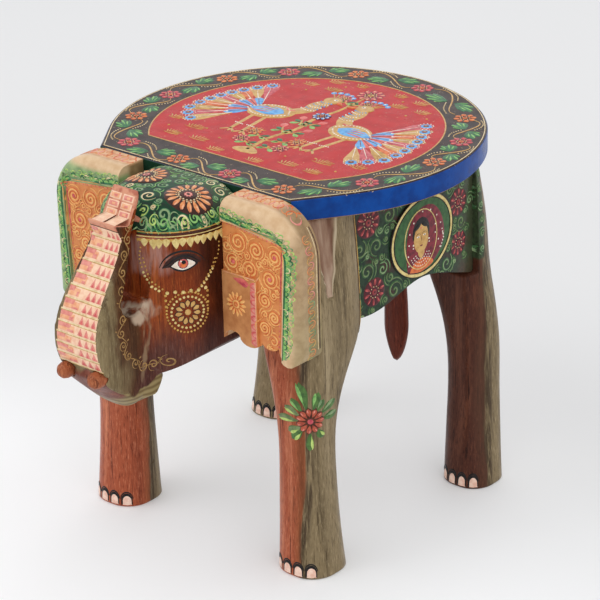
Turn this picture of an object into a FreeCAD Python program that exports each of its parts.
import FreeCAD, Part
import math
import os

# A carved elephant stool: a round seat on an elephant whose four legs carry the seat.
# Millimetres, +Z up, the head faces -Y and the elephant's left side is +X.
# The shapes are drawn about the axis of the round seat, with the floor at zero.
# Then they move along Y, so that the origin is below the middle of the whole length.

os.makedirs("parts", exist_ok=True)
Vector = FreeCAD.Vector

# Seat: three boards glued edge to edge, with a straight edge at the head
seat_height = 311.0
seat_radius = 150.0
seat_thickness = 18.0
seat_edge_chamfer = 1.2
front_cut = 28.0
front_corner_extra = 10.5
front_board_width = 69.0
rear_board_width = 102.0

# Rails and flanks under the seat. An inset is measured inwards from the seat's round edge,
# and the chest rail runs past each cheek by its overlap
rail_height = 102.0
rail_thickness = 36.0
rail_arch_rise = 12.0
chest_overlap = 8.0
rump_end_inset = 88.0
rump_face_inset = 42.0
rump_bulge = 8.0
flank_face_inset = 42.0
flank_bulge = 4.0
flank_thickness = 34.0
flank_edge_drop = 96.0
flank_arch_rise = 9.5
shoulder_depth = 60.0
haunch_depth = 22.0
medallion_half_length = 39.0
medallion_half_height = 34.0
medallion_drop = 51.0
medallion_reach = 16.0
medallion_relief = 1.2

# Tenons of the rails and flanks
tenon_length = 12.0
tenon_thickness = 14.0
tenon_height = 56.0
tenon_clearance = 0.15

# Front legs. A setback is measured from the chest or the rump towards the middle
ankle_height = 105.0
front_foot_inset = 51.2
front_foot_setback = 14.0
front_foot_half = 24.6
front_foot_corner = 21.0
front_ankle_inset = 53.4
front_ankle_setback = 13.0
front_ankle_half = 20.3
front_ankle_corner = 17.0
shoulder_bulge = 12.0
shoulder_rear_extra = 2.0
shoulder_corner = 24.0
shoulder_top_bulge = 2.0
shoulder_groove_radius = 15.0
shoulder_groove_length = 67.0

# Rear legs
rear_foot_inset = 43.5
rear_foot_setback = 19.5
rear_foot_half = 23.0
rear_foot_corner = 20.0
rear_ankle_inset = 47.5
rear_ankle_setback = 13.0
rear_ankle_half = 19.8
rear_ankle_corner = 16.5
haunch_bulge = 7.0
haunch_rear_bulge = 8.0
haunch_overlap = 10.0
haunch_corner = 26.0
haunch_top_bulge = 1.0
haunch_top_corner = 34.0

# Head: a middle plank with the trunk and chin, and a cheek on each side
face_half_width = 52.0
face_depth = 28.0
core_half_width = 24.0
crown_rise = 25.0
crown_flat_half = 20.0
jaw_side_drop = 118.0
jaw_bottom_drop = 139.0
cheek_hollow_radius = 14.0
trunk_overhang = 105.0
trunk_tip_rise = 11.0
mouth_drop = 118.5
chin_drop = 160.0
chin_corner = 9.0
tip_half_width = 12.0
brow_half_width = 15.2
tusk_radius = 6.5
tusk_across = 15.8
tusk_drop = 121.5
tusk_length = 11.0
tusk_tenon_length = 14.0
tusk_clearance = 0.2

# Ears
ear_inset = 24.5
ear_thickness = 28.0
ear_top_drop = 1.0
ear_bottom_drop = 121.0
ear_lobe_depth = 16.0
ear_corner = 38.0
ear_edge_round = 9.0
ear_band_top = 17.0
ear_band_side = 12.0
ear_band_foot = 19.0
ear_panel_depth = 2.2
ear_flap_width = 34.0
ear_flap_top_drop = 56.0

# Tail
tail_root_drop = 9.0
tail_tip_height = 64.0
tail_half_width = 12.0
tail_half_thickness = 7.2
tail_sink = 1.5

# Dowels and nails
dowel_radius = 4.0
dowel_length = 36.0
seat_dowel_radius = 5.0
seat_dowel_length = 26.0
seat_dowel_share = 0.42
dowel_clearance = 0.15
dowel_end_gap = 0.5
nail_radius = 1.4
nail_head_radius = 3.2
nail_head_thickness = 1.0
nail_length = 34.0
nail_clearance = 0.1

# How far a cutting tool runs past what it cuts, and the shortest side of an outline
overrun = 60.0
shortest_side = 0.005

# Stations of each third of a leg, flats round each of its corners, and points of the crown's shoulder
leg_steps = 4
leg_corner_sides = 4
crown_steps = 4

# Flats round the tail and along a lobe of the ear, and rings at the round end of a tusk
tail_sides = 12
ear_lobe_sides = 8
tusk_end_rings = 3

# The largest part of a side that its corner radii may take
corner_fill_share = 0.96

# Shares chosen by eye: a share of 0 is the first size named and 1 is the second
# Lower edge of a flank: share of its length, share of the arch's rise
flank_edge_shares = ((0.0, 0.0), (0.27, 0.2), (0.5, 1.0), (0.73, 0.3), (1.0, -1.15))

# Side view of the trunk: share from the forehead to its reach, share from mouth to tip
trunk_front_shares = ((0.887, 0.0), (0.985, 0.12), (0.99, 0.23), (0.88, 0.37), (0.604, 0.54), (0.28, 0.755))
trunk_lip_shares = ((0.39, 0.85), (0.11, 0.815), (0.045, 0.868), (-0.12, 1.0))
trunk_back_shares = ((-0.2, 0.985), (-0.03, 0.87), (0.07, 0.78), (0.25, 0.6), (0.46, 0.41))
trunk_hollow_shares = ((0.33, 0.29), (0.06, 0.36))
trunk_width_shares = ((0.18, 0.0), (0.42, 0.3), (0.55, 0.52), (0.755, 1.0))
# Side view of the chin: share from the forehead to the trunk's reach, share from chin to mouth
chin_shares = ((-0.26, 0.54), (-0.03, 0.12), (0.18, 0.0), (0.42, 0.16), (0.63, 0.42), (0.8, 0.66), (0.91, 0.88))

# Ear lobes from the outer edge to the face, each from its start by its middle to its end:
# share of the ear's width, share of the lobe depth
ear_lobe_shares = (
    ((0.0, 0.62), (0.14, 0.0), (0.28, 0.82)),
    ((0.28, 0.82), (0.39, 0.52), (0.5, 0.8)),
    ((0.5, 0.8), (0.64, 0.42), (0.78, 0.82)),
    ((0.78, 0.82), (0.88, 1.0), (1.0, 0.5)),
)

# Ear nails: share of the shoulder's width from its inner side, share of the ear's height
ear_nail_shares = ((0.675, 0.64), (0.65, 0.22), (0.14, 0.64))

# Tail stations from root to tip: share of the length, of the width, of the thickness
tail_shares = (
    (0.0, 0.62, 0.8), (0.25, 0.62, 0.85), (0.5, 0.58, 0.84), (0.7, 0.7, 0.94), (0.86, 1.0, 1.0),
    (0.95, 0.72, 0.75), (1.0, 0.15, 0.2),
)

# Worked out from the sizes above: the seat and what it rests on
frame_top = seat_height - seat_thickness
front_reach = seat_radius - front_cut
front_joint_reach = front_reach - front_board_width
rear_joint_reach = seat_radius - rear_board_width
rail_bottom = frame_top - rail_height
rump_half_length = seat_radius - rump_end_inset
rump_reach = seat_radius - rump_face_inset
flank_half_width = seat_radius - flank_face_inset
chest_half_length = face_half_width + chest_overlap
flank_front_reach = front_reach - shoulder_depth
flank_rear_reach = rump_reach - haunch_depth
flank_edge_height = frame_top - flank_edge_drop
medallion_height = frame_top - medallion_drop
front_corner_half = math.sqrt(seat_radius ** 2 - front_reach ** 2) + front_corner_extra

# Worked out: the legs
front_foot_across = seat_radius - front_foot_inset
front_foot_along = front_reach - front_foot_setback
front_ankle_across = seat_radius - front_ankle_inset
front_ankle_along = front_reach - front_ankle_setback
shoulder_out = flank_half_width + shoulder_bulge
shoulder_top_out = flank_half_width + shoulder_top_bulge
shoulder_groove_bottom = frame_top - shoulder_groove_length
rear_foot_across = seat_radius - rear_foot_inset
rear_foot_along = rump_reach - rear_foot_setback
rear_ankle_across = seat_radius - rear_ankle_inset
rear_ankle_along = rump_reach - rear_ankle_setback
haunch_out = flank_half_width + haunch_bulge
haunch_rear = rump_reach + haunch_rear_bulge
haunch_front = flank_rear_reach - haunch_overlap
haunch_top_out = flank_half_width + haunch_top_bulge

# Worked out: the head, the ears and the tail
face_axis_reach = front_reach + face_depth
jaw_side_height = seat_height - jaw_side_drop
jaw_bottom_height = seat_height - jaw_bottom_drop
trunk_reach = face_axis_reach + trunk_overhang
trunk_tip_height = seat_height + trunk_tip_rise
mouth_height = seat_height - mouth_drop
chin_height = seat_height - chin_drop
tusk_height = seat_height - tusk_drop
ear_outer = seat_radius - ear_inset
ear_bottom_height = seat_height - ear_bottom_drop
tail_root_height = frame_top - tail_root_drop
ear_inner = face_half_width
ear_width = ear_outer - ear_inner
ear_top = seat_height - ear_top_drop
ear_front_reach = front_reach + ear_thickness
face_reach = face_axis_reach + face_half_width


def point_on(plane, level, a, b):
    """The point a, b of a drawing plane, at a level along the plane's normal."""
    if plane == "XY":
        return Vector(a, b, level)
    if plane == "XZ":
        return Vector(a, level, b)
    return Vector(level, a, b)


def outline(plane, level, start, steps):
    """A closed wire. A step of one point is a line, of two an arc, of more a smooth curve."""
    edges = []
    here = start
    for step in steps + [[start]]:
        places = [here] + list(step)
        corners = [point_on(plane, level, a, b) for a, b in places]
        here = places[-1]
        if len(corners) == 2:
            if (corners[1] - corners[0]).Length > shortest_side:
                edges.append(Part.LineSegment(corners[0], corners[1]).toShape())
        elif len(corners) == 3:
            edges.append(Part.Arc(corners[0], corners[1], corners[2]).toShape())
        else:
            curve = Part.BSplineCurve()
            curve.interpolate(corners)
            edges.append(curve.toShape())
    return Part.Wire(edges)


def prism(plane, low, high, start, steps):
    """A solid between two levels of a drawing plane."""
    depth = {"XY": Vector(0, 0, high - low), "XZ": Vector(0, high - low, 0), "YZ": Vector(high - low, 0, 0)}
    return Part.Face(outline(plane, low, start, steps)).extrude(depth[plane])


def block(low, high):
    """A box between two corners."""
    size = [high[i] - low[i] for i in range(3)]
    return Part.makeBox(size[0], size[1], size[2], Vector(*low))


def mirrored(shape):
    """The same piece on the elephant's other side."""
    return shape.mirror(Vector(0, 0, 0), Vector(1, 0, 0))


def one_solid(shape):
    """The largest solid of a result, without seams between faces that run on."""
    solid = max(shape.Solids, key=lambda item: item.Volume)
    return solid.removeSplitter()


def rod(start, along, length, radius):
    """A round rod that starts at a point and runs along a direction."""
    return Part.makeCylinder(radius, length, Vector(*start), along)


def mix(first, second, share):
    """Values a share of the way from the first list to the second."""
    return [a + (b - a) * share for a, b in zip(first, second)]


def seat_blank():
    """The whole seat: a disc with a straight front edge and its two sharp corners."""
    corner_distance = math.hypot(front_corner_half, front_reach)
    turn = math.acos(seat_radius / corner_distance) - math.atan2(front_reach, front_corner_half)
    meet = (seat_radius * math.cos(turn), seat_radius * math.sin(turn))
    blank = prism("XY", frame_top, seat_height, (-front_corner_half, -front_reach), [
        [(front_corner_half, -front_reach)],
        [meet],
        [(0, seat_radius), (-meet[0], meet[1])],
    ])
    rims = [edge for edge in blank.Edges if abs(edge.BoundBox.ZMax - edge.BoundBox.ZMin) < seat_edge_chamfer]
    return blank.makeChamfer(seat_edge_chamfer, rims)


def seat_boards():
    """The seat sawn at its two glued joints, front board first."""
    blank = seat_blank()
    edges = (-front_reach - overrun, -front_joint_reach, rear_joint_reach, seat_radius + overrun)
    far = seat_radius + overrun
    boards = []
    for near, end in zip(edges, edges[1:]):
        saw = block((-far, near, frame_top - overrun), (far, end, seat_height + overrun))
        boards.append(one_solid(blank.common(saw)))
    return boards


def flank_side_view(low, high):
    """The side view of a flank between two levels of X: ends, top and arched lower edge."""
    length = flank_front_reach + flank_rear_reach
    edge = [
        (-flank_front_reach + length * along, flank_edge_height + flank_arch_rise * rise)
        for along, rise in flank_edge_shares
    ]
    return prism("YZ", low, high, (-flank_front_reach, frame_top), [
        [edge[0]],
        edge[1:],
        [(flank_rear_reach, frame_top)],
    ])


def tenon(plane, middle, start, length, clearance):
    """A flat tenon: it runs along Y on a flank and along X on a rail."""
    half = tenon_thickness / 2 + clearance
    top = rail_bottom + (frame_top - rail_bottom + tenon_height) / 2 + clearance
    bottom = top - tenon_height - 2 * clearance
    if plane == "along Y":
        return block((middle - half, start, bottom), (middle + half, start + length, top))
    return block((start, middle - half, bottom), (start + length, middle + half, top))


def flank_tenons(clearance):
    """The two tenons of the left flank, as they are or as the mortises are cut."""
    middle = flank_half_width - flank_thickness / 2
    length = tenon_length + clearance
    front = tenon("along Y", middle, -flank_front_reach - length, length, clearance)
    rear = tenon("along Y", middle, flank_rear_reach, length, clearance)
    return [front, rear]


def flank():
    """The left flank: a plank with a slightly round face and a raised oval medallion."""
    far = flank_half_width + flank_bulge + overrun
    plank = flank_side_view(flank_half_width - flank_thickness, far)
    half = (flank_front_reach + flank_rear_reach) / 2
    middle = (flank_rear_reach - flank_front_reach) / 2
    face_radius = (half ** 2 + flank_bulge ** 2) / (2 * flank_bulge)
    centre = flank_half_width + flank_bulge - face_radius
    low = rail_bottom - overrun
    tall = frame_top + overrun - low
    face = Part.makeCylinder(face_radius, tall, Vector(centre, middle, low))
    raised = Part.makeCylinder(face_radius + medallion_relief, tall, Vector(centre, middle, low))
    long_way = Vector(0, 1, 0)
    centre_point = Vector(flank_half_width - flank_thickness / 2, medallion_reach, medallion_height)
    oval = Part.Ellipse(
        centre_point + long_way * medallion_half_length,
        centre_point + Vector(0, 0, medallion_half_height),
        centre_point,
    )
    disc = Part.Face(Part.Wire(oval.toShape())).extrude(Vector(far, 0, 0))
    body = plank.common(face).fuse(disc.common(raised))
    return one_solid(body.fuse(flank_tenons(0)))


def chest_rail():
    """The rail between the front legs, arched below, that carries the head."""
    rise = rail_bottom + rail_arch_rise
    board = prism("XZ", -front_reach, -front_reach + rail_thickness, (-chest_half_length, frame_top), [
        [(-chest_half_length, rail_bottom)],
        [(0, rise), (chest_half_length, rail_bottom)],
        [(chest_half_length, frame_top)],
    ])
    return one_solid(board.fuse(rail_tenons(chest_half_length, chest_tenon_middle(), 0)))


def chest_tenon_middle():
    """The middle of the chest rail's tenons along Y."""
    return -front_reach + rail_thickness / 2


def rump_tenon_middle():
    """The middle of the rump rail's tenons along Y, well inside the haunch."""
    return flank_rear_reach + 3 * tenon_thickness / 4


def rail_tenons(half_length, middle, clearance):
    """The tenons at the two ends of a cross rail."""
    length = tenon_length + clearance
    left = tenon("along X", middle, half_length, length, clearance)
    right = tenon("along X", middle, -half_length - length, length, clearance)
    return [left, right]


def rump_rail():
    """The rail between the rear legs with a round rear face, arched below."""
    rise = rail_bottom + rail_arch_rise
    board = prism("XZ", rump_reach - rail_thickness, rump_reach + rump_bulge, (-rump_half_length, frame_top), [
        [(-rump_half_length, rail_bottom)],
        [(0, rise), (rump_half_length, rail_bottom)],
        [(rump_half_length, frame_top)],
    ])
    plan = prism("XY", rail_bottom - overrun, frame_top + overrun, (-rump_half_length, rump_reach - rail_thickness), [
        [(rump_half_length, rump_reach - rail_thickness)],
        [(rump_half_length, rump_reach)],
        [(0, rump_reach + rump_bulge), (-rump_half_length, rump_reach)],
    ])
    board = board.common(plan)
    return one_solid(board.fuse(rail_tenons(rump_half_length, rump_tenon_middle(), 0)))


def leg_section(height, section):
    """A level section of a leg: a rectangle with its own radius at each outer corner."""
    x0, x1, y0, y1, inner, front_outer, rear_outer = section
    sides = ((x1 - x0, inner + front_outer), (x1 - x0, inner + rear_outer))
    sides += ((y1 - y0, inner + inner), (y1 - y0, front_outer + rear_outer))
    fit = min([1.0] + [corner_fill_share * side / radii for side, radii in sides])
    radii = (inner * fit, front_outer * fit, rear_outer * fit, inner * fit)
    corners = ((x0, y0), (x1, y0), (x1, y1), (x0, y1))
    points = []
    for i, (corner, radius) in enumerate(zip(corners, radii)):
        inward_x = 1 if corner[0] == x0 else -1
        inward_y = 1 if corner[1] == y0 else -1
        middle = (corner[0] + inward_x * radius, corner[1] + inward_y * radius)
        for step in range(leg_corner_sides + 1):
            angle = math.pi + (i + step / leg_corner_sides) * math.pi / 2
            points.append(Vector(middle[0] + radius * math.cos(angle), middle[1] + radius * math.sin(angle), height))
    return Part.makePolygon(points + points[:1])


def leg_loft(foot, ankle, hip, top):
    """A leg from the floor to the underside of the seat: a flared foot and a swelling hip."""
    sections = []
    for step in range(leg_steps):
        turn = math.pi / 2 * step / leg_steps
        sections.append((ankle_height * step / leg_steps, mix(foot, ankle, math.sin(turn))))
    for low, high, first, second in (
        (ankle_height, rail_bottom, ankle, hip),
        (rail_bottom, frame_top, hip, top),
    ):
        for step in range(leg_steps):
            turn = math.pi / 2 * step / leg_steps
            sections.append((low + (high - low) * step / leg_steps, mix(first, second, 1 - math.cos(turn))))
    sections.append((frame_top, top))
    wires = [leg_section(height, section) for height, section in sections]
    return Part.makeLoft(wires, True, True)


def square_section(across, along, half, corner):
    """A section with its middle at across, along."""
    return [across - half, across + half, along - half, along + half, corner, corner, corner]


def flank_housing():
    """The room that the left flank takes out of both left legs."""
    return flank_side_view(0, seat_radius + overrun)


def rail_housing(half_length):
    """The room between a pair of legs that a cross rail takes."""
    far = seat_radius + overrun
    return block((-far, -far, rail_bottom), (half_length, far, frame_top + overrun))


def shoulder_groove():
    """The tapered flute carved between the ear and the shoulder's bulge."""
    foot = Vector(shoulder_out, -front_reach + shoulder_corner, shoulder_groove_bottom)
    head = Vector(shoulder_out - dowel_end_gap, -front_reach + shoulder_corner + rail_thickness / 3, frame_top)
    along = head - foot
    return Part.makeCone(0, shoulder_groove_radius, along.Length, foot, along)


def front_leg():
    """The left front leg with its shoulder, before its mortises are cut."""
    foot = square_section(front_foot_across, -front_foot_along, front_foot_half, front_foot_corner)
    ankle = square_section(front_ankle_across, -front_ankle_along, front_ankle_half, front_ankle_corner)
    inner = front_foot_corner / 3
    rear = -flank_front_reach + shoulder_rear_extra
    hip = [chest_half_length, shoulder_out, -front_reach, rear, inner, shoulder_corner / 2, shoulder_corner]
    top = [chest_half_length, shoulder_top_out, -front_reach, -flank_front_reach]
    top += [inner, shoulder_corner, shoulder_corner]
    leg = leg_loft(foot, ankle, hip, top)
    far = seat_radius + overrun
    ear_seat = block((0, -far, ear_bottom_height - ear_lobe_depth / 4), (far, -front_reach, frame_top + overrun))
    leg = leg.cut(ear_seat).cut(flank_housing()).cut(rail_housing(chest_half_length))
    return one_solid(leg.cut(shoulder_groove()))


def rear_leg():
    """The left rear leg with its haunch, before its mortises are cut."""
    foot = square_section(rear_foot_across, rear_foot_along, rear_foot_half, rear_foot_corner)
    ankle = square_section(rear_ankle_across, rear_ankle_along, rear_ankle_half, rear_ankle_corner)
    inner = rear_foot_corner / 3
    hip = [rump_half_length, haunch_out, haunch_front, haunch_rear, inner, haunch_corner / 2, haunch_corner]
    top = [rump_half_length - haunch_corner, haunch_top_out, haunch_front - rear_foot_half, rump_reach]
    top += [inner, inner, haunch_top_corner]
    leg = leg_loft(foot, ankle, hip, top)
    return one_solid(leg.cut(flank_housing()).cut(rail_housing(rump_half_length)))


def crown_points(side):
    """The round shoulder of the crown, from the brow up to the flat top."""
    brow = seat_height - crown_rise
    wide = face_half_width - crown_flat_half
    places = []
    for step in range(1, crown_steps + 1):
        angle = step / crown_steps * math.pi / 2
        places.append((side * (crown_flat_half + wide * math.cos(angle)), brow + crown_rise * math.sin(angle)))
    return places


def head_form():
    """The head without trunk and chin: a half round face, a domed crown and a round jaw."""
    brow = seat_height - crown_rise
    low = chin_height
    right = crown_points(1)
    left = crown_points(-1)[::-1]
    back = prism("XZ", -face_axis_reach, -front_reach, (-face_half_width, low), [
        [(face_half_width, low)],
        [(face_half_width, brow)],
        right,
        [left[0]],
        left[1:] + [(-face_half_width, brow)],
    ])
    half = Part.Face(outline("XZ", -face_axis_reach, (0, low), [
        [(face_half_width, low)],
        [(face_half_width, brow)],
        right,
        [(0, seat_height)],
    ]))
    front = half.revolve(Vector(0, -face_axis_reach, 0), Vector(0, 0, 1), -180)
    far = face_half_width + overrun
    jaw = prism("XZ", -face_reach - overrun, -front_reach + overrun, (-far, seat_height + overrun), [
        [(-far, jaw_side_height)],
        [(-face_half_width, jaw_side_height)],
        [(0, jaw_bottom_height), (face_half_width, jaw_side_height)],
        [(far, jaw_side_height)],
        [(far, seat_height + overrun)],
    ])
    return back.fuse(front).common(jaw)


def trunk_place(reach_share, height_share, base, top):
    """A point of the head's side view from its shares."""
    reach = face_reach + (trunk_reach - face_reach) * reach_share
    return (-reach, base + (top - base) * height_share)


def trunk_and_chin():
    """The raised trunk with its parted tip, and the chin below it."""
    def on_trunk(shares):
        return [trunk_place(a, b, mouth_height, trunk_tip_height) for a, b in shares]

    chin = [trunk_place(a, b, chin_height, mouth_height) for a, b in chin_shares]
    front = on_trunk(trunk_front_shares)
    lip = on_trunk(trunk_lip_shares)
    back = on_trunk(trunk_back_shares)
    hollow = on_trunk(trunk_hollow_shares)
    inside = (-face_reach + core_half_width / 2, hollow[-1][1])
    inside_low = (inside[0], chin[0][1])
    trunk = prism("YZ", -core_half_width, core_half_width, front[0], [
        front[1:],
        [lip[0]], [lip[1]], [lip[2]], [lip[3]], [back[0]],
        back[1:],
        hollow,
        [inside],
        [(inside[0], mouth_height)],
    ])
    width = [(core_half_width, mouth_height - overrun)]
    for up, share in trunk_width_shares:
        half = core_half_width + (brow_half_width - core_half_width) * share
        width.append((half, mouth_height + (trunk_tip_height - mouth_height) * up))
    lip_height = lip[2][1]
    width.append((brow_half_width, lip_height))
    width.append((tip_half_width, trunk_tip_height))
    front_view = prism("XZ", -trunk_reach - overrun, inside[0] + overrun, (-core_half_width, mouth_height - overrun), [
        [width[0]], [width[1]],
        width[2:5],
        [width[5]], [width[6]],
        [(-tip_half_width, trunk_tip_height)],
        [(-brow_half_width, lip_height)],
        [(-width[4][0], width[4][1])],
        [(-a, b) for a, b in width[3:0:-1]],
    ])
    trunk = trunk.common(front_view)
    jaw = prism("YZ", -core_half_width, core_half_width, chin[0], [
        chin[1:],
        [front[0]],
        [(inside[0], mouth_height)],
        [inside_low],
    ])
    tip = -trunk_reach
    rounded = prism("XY", chin_height - overrun, mouth_height + overrun, (-core_half_width, 0), [
        [(-core_half_width, tip + 2 * chin_corner)],
        [(-core_half_width + chin_corner / 3, tip + chin_corner / 2), (-core_half_width + 2 * chin_corner, tip)],
        [(core_half_width - 2 * chin_corner, tip)],
        [(core_half_width - chin_corner / 3, tip + chin_corner / 2), (core_half_width, tip + 2 * chin_corner)],
        [(core_half_width, 0)],
    ])
    return trunk.fuse(jaw.common(rounded))


def tusk(clearance):
    """The left tusk: a stub with a round end and a tenon in the chin."""
    start = (tusk_across, -trunk_reach + tusk_radius + tusk_tenon_length, tusk_height)
    radius = tusk_radius + clearance
    length = tusk_tenon_length + tusk_length
    if clearance:
        return rod((start[0], start[1] + clearance, start[2]), Vector(0, -1, 0), length, radius)
    end = start[1] - length
    steps = [[(start[1], start[2] + radius)]]
    for ring in range(tusk_end_rings + 1):
        turn = math.pi / 2 * ring / tusk_end_rings
        steps.append([(end + radius * (1 - math.sin(turn)), start[2] + radius * math.cos(turn))])
    profile = Part.Face(outline("YZ", start[0], (start[1], start[2]), steps))
    return profile.revolve(Vector(*start), Vector(0, 1, 0), 360)


def head_core():
    """The middle plank of the head with the trunk, the chin and the two tusk sockets."""
    far = trunk_reach + overrun
    plank = block((-core_half_width, -far, 0), (core_half_width, -front_reach, seat_height + overrun))
    core = head_form().common(plank).fuse(trunk_and_chin())
    socket = tusk(tusk_clearance)
    return one_solid(core.cut(socket).cut(mirrored(socket)))


def cheek(core):
    """The left cheek, with the hollow where it runs out along the trunk's root."""
    far = face_reach + overrun
    side = block((core_half_width, -far, 0), (far, -front_reach, seat_height + overrun))
    form = head_form().common(side)
    radius = cheek_hollow_radius
    centre_x = core_half_width + radius
    centre_y = -face_axis_reach - math.sqrt((face_half_width + radius) ** 2 - centre_x ** 2)
    share = face_half_width / (face_half_width + radius)
    on_face = (centre_x * share, -face_axis_reach + (centre_y + face_axis_reach) * share)
    on_core = (core_half_width, centre_y)
    turn = (math.pi + math.atan2(on_face[1] - centre_y, on_face[0] - centre_x)) / 2
    between = (centre_x + radius * math.cos(turn), centre_y + radius * math.sin(turn))
    hollow_top = trunk_place(0, trunk_hollow_shares[0][1], mouth_height, trunk_tip_height)[1]
    inner = core_half_width - dowel_radius
    back = -face_axis_reach
    fill = prism("XY", jaw_side_height - core_half_width / 2, seat_height - crown_rise, (inner, back), [
        [(inner, on_core[1])],
        [on_core],
        [between, on_face],
        [(on_face[0], back)],
    ])
    slope = prism("YZ", 0, far, (on_core[1] - overrun, hollow_top), [
        [(on_core[1], hollow_top)],
        [(on_face[1], seat_height - crown_rise)],
        [(on_core[1] - overrun, seat_height - crown_rise)],
    ])
    fill = fill.cut(slope)
    return one_solid(form.fuse(fill.cut(core).common(side)))


def ear_place(width_share, depth_share):
    """A point of the ear's lower edge from its shares."""
    return (ear_outer - ear_width * width_share, ear_bottom_height + ear_lobe_depth * depth_share)


def ear_lobe(start, middle, end):
    """The points of one lobe after its start: half an oval, upright at both ends at any width."""
    points = []
    for step in range(1, ear_lobe_sides + 1):
        turn = math.pi * step / ear_lobe_sides
        side = start if 2 * step < ear_lobe_sides else end
        across = middle[0] + (side[0] - middle[0]) * abs(math.cos(turn))
        points.append((across, side[1] + (middle[1] - side[1]) * math.sin(turn)))
    return points


def ear():
    """The left ear: a thick board with a round outer edge, a sunk panel and a raised flap."""
    bend = ear_corner * (1 - math.sqrt(0.5))
    low = ear_bottom_height - overrun
    board = prism("XZ", -ear_front_reach, -front_reach, (ear_inner, ear_top), [
        [(ear_outer - ear_corner, ear_top)],
        [(ear_outer - bend, ear_top - bend), (ear_outer, ear_top - ear_corner)],
        [(ear_outer, low)],
        [(ear_inner, low)],
    ])
    rims = []
    for edge in board.Edges:
        middle = edge.CenterOfMass
        at_front = abs(edge.BoundBox.YMax + ear_front_reach) < nail_clearance
        if at_front and middle.z > low + nail_clearance and middle.x > ear_inner + nail_clearance:
            rims.append(edge)
    board = board.makeFillet(ear_edge_round, rims)
    lobes = []
    for lobe in ear_lobe_shares:
        lobes += [[point] for point in ear_lobe(*[ear_place(a, b) for a, b in lobe])]
    far = ear_outer + overrun
    first = ear_place(*ear_lobe_shares[0][0])
    board = board.common(prism("XZ", -ear_front_reach - overrun, 0, (ear_inner, ear_top + overrun), [
        [(far, ear_top + overrun)],
        [(far, first[1])],
        [first],
    ] + lobes))
    floor = -ear_front_reach + ear_panel_depth
    panel = prism("XZ", -ear_front_reach - overrun, floor, (ear_inner - overrun, ear_top - ear_band_top), [
        [(ear_outer - ear_band_side, ear_top - ear_band_top)],
        [(ear_outer - ear_band_foot, low)],
        [(ear_inner - overrun, low)],
    ])
    flap_top = ear_top - ear_flap_top_drop
    flap = block((ear_inner - 2 * overrun, -ear_front_reach - 2 * overrun, low - overrun),
                 (ear_inner + ear_flap_width, 0, flap_top))
    return one_solid(board.cut(panel.cut(flap)))


def tail_blank():
    """The tail before it is scribed to the rump: a stem that swells to a paddle."""
    length = tail_root_height - tail_tip_height
    along = rump_reach + rump_bulge + tail_half_thickness - tail_sink
    wires = []
    for down, wide, thick in tail_shares:
        height = tail_root_height - length * down
        points = []
        for side in range(tail_sides):
            turn = 2 * math.pi * side / tail_sides
            across = tail_half_width * wide * math.cos(turn)
            points.append(Vector(across, along + tail_half_thickness * thick * math.sin(turn), height))
        wires.append(Part.makePolygon(points + points[:1]))
    return Part.makeLoft(wires, True, True)


def dowel_set(starts, along, length, radius, clearance):
    """Round dowels from a list of starts, or the holes that they go in."""
    rods = []
    back = Vector(along).multiply(dowel_end_gap if clearance else 0)
    grown = length + (2 * dowel_end_gap if clearance else 0)
    for start in starts:
        foot = Vector(*start) - back
        rods.append(Part.makeCylinder(radius + clearance, grown, foot, along))
    return rods


def seat_joint_dowels(clearance):
    """Three dowels across each glued joint of the seat."""
    middle = seat_height - seat_thickness / 2
    starts = []
    for joint in (-front_joint_reach, rear_joint_reach):
        for side in (-1, 0, 1):
            starts.append((side * seat_radius / 2, joint - dowel_length / 2, middle))
    return dowel_set(starts, Vector(0, 1, 0), dowel_length, dowel_radius, clearance)


def seat_dowels(clearance):
    """One upright dowel between each leg and the seat, hidden from above."""
    low = frame_top - seat_dowel_length * (1 - seat_dowel_share)
    front_across = (chest_half_length + tenon_length + flank_half_width) / 2
    front_along = -(front_reach + flank_front_reach) / 2
    rear_across = rump_half_length + tenon_length + seat_dowel_radius * 2
    rear_along = flank_rear_reach + (rump_reach - flank_rear_reach) / 2
    starts = []
    for side in (-1, 1):
        starts.append((side * front_across, front_along, low))
        starts.append((side * rear_across, rear_along, low))
    return dowel_set(starts, Vector(0, 0, 1), seat_dowel_length, seat_dowel_radius, clearance)


def head_dowels(clearance):
    """Four dowels from the chest rail into the head."""
    high = seat_height - seat_thickness - 3 * dowel_radius
    low = rail_bottom + rail_arch_rise + 3 * dowel_radius
    across = (core_half_width + face_half_width) / 2
    start = -front_reach - dowel_length / 2
    starts = [(0, start, high), (0, start, low)]
    starts += [(-across, start, (high + low) / 2), (across, start, (high + low) / 2)]
    return dowel_set(starts, Vector(0, 1, 0), dowel_length, dowel_radius, clearance)


def tail_dowel(clearance):
    """The dowel that holds the tail to the rump."""
    out = tail_half_thickness
    start = (0, rump_reach + rump_bulge + out - dowel_length, tail_root_height - tail_half_width * 2)
    return dowel_set([start], Vector(0, 1, 0), dowel_length, dowel_radius, clearance)


def ear_nails(clearance):
    """Three nails through the left ear into the leg, with their heads flush in the panel."""
    nails = []
    for width_share, height_share in ear_nail_shares:
        across = chest_half_length + (shoulder_out - chest_half_length) * width_share
        up = ear_bottom_height + (ear_top - ear_bottom_height) * height_share
        start = -ear_front_reach + ear_panel_depth
        head = Part.makeCylinder(
            nail_head_radius + clearance, nail_head_thickness + clearance, Vector(across, start, up), Vector(0, 1, 0)
        )
        shank = Part.makeCylinder(
            nail_radius + clearance, nail_length + clearance, Vector(across, start, up), Vector(0, 1, 0)
        )
        nails.append(head.fuse(shank))
    return nails


def drilled(shape, tools):
    """A piece with its holes and mortises cut."""
    return one_solid(shape.cut(tools))


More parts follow.
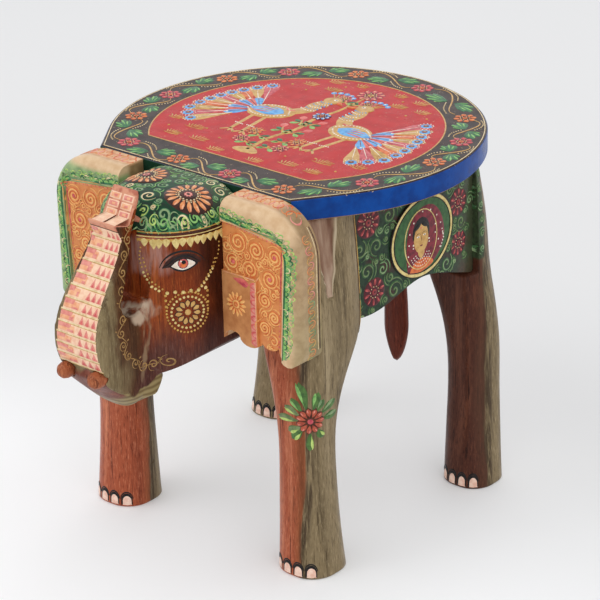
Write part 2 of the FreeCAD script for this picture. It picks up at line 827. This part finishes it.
def build():
    """Every piece of the stool by its name."""
    boards = seat_boards()
    joint_holes = seat_joint_dowels(dowel_clearance)
    seat_holes = seat_dowels(dowel_clearance)
    head_holes = head_dowels(dowel_clearance)
    tail_hole = tail_dowel(dowel_clearance)
    nail_holes = ear_nails(nail_clearance)
    flank_mortises = flank_tenons(tenon_clearance)
    chest_mortises = rail_tenons(chest_half_length, chest_tenon_middle(), tenon_clearance)
    rump_mortises = rail_tenons(rump_half_length, rump_tenon_middle(), tenon_clearance)

    left_flank = flank()
    left_front = drilled(front_leg(), flank_mortises + chest_mortises + seat_holes + nail_holes)
    left_rear = drilled(rear_leg(), flank_mortises + rump_mortises + seat_holes)
    core = head_core()
    left_cheek = drilled(cheek(core), head_holes)
    left_ear = drilled(ear(), nail_holes)
    left_tusk = tusk(0)
    rump = rump_rail()
    tail = tail_blank().cut(rump)
    left_nails = ear_nails(0)

    pieces = {}
    for name, board in zip(("front", "middle", "rear"), boards):
        pieces["seat_board_" + name] = drilled(board, joint_holes + seat_holes)
    pieces["seat_joint_dowels"] = Part.makeCompound(seat_joint_dowels(0))
    pieces["seat_dowels"] = Part.makeCompound(seat_dowels(0))
    pieces["chest_rail"] = drilled(chest_rail(), head_holes)
    pieces["rump_rail"] = drilled(rump, tail_hole)
    pieces["head_core"] = drilled(core, head_holes)
    pieces["head_dowels"] = Part.makeCompound(head_dowels(0))
    pieces["tail"] = drilled(tail, tail_hole)
    pieces["tail_dowel"] = tail_dowel(0)[0]
    pieces["ear_nails"] = Part.makeCompound(left_nails + [mirrored(nail) for nail in left_nails])
    pairs = {
        "flank": left_flank,
        "leg_front": left_front,
        "leg_rear": left_rear,
        "cheek": left_cheek,
        "ear": left_ear,
        "tusk": left_tusk,
    }
    for name, shape in pairs.items():
        pieces[name + "_left"] = shape
        pieces[name + "_right"] = mirrored(shape)
    return pieces


pieces = build()
boxes = [shape.optimalBoundingBox(False) for shape in pieces.values()]
low_end = min(box.YMin for box in boxes)
high_end = max(box.YMax for box in boxes)
shift = Vector(0, -(low_end + high_end) / 2, 0)
for name, shape in pieces.items():
    shape.translate(shift)
    shape.exportStep("parts/" + name + ".step")
    box = shape.optimalBoundingBox(False)
    print(name, len(shape.Solids), shape.isValid(), round(shape.Volume), [round(v, 1) for v in (
        box.XMin, box.XMax, box.YMin, box.YMax, box.ZMin, box.ZMax)])
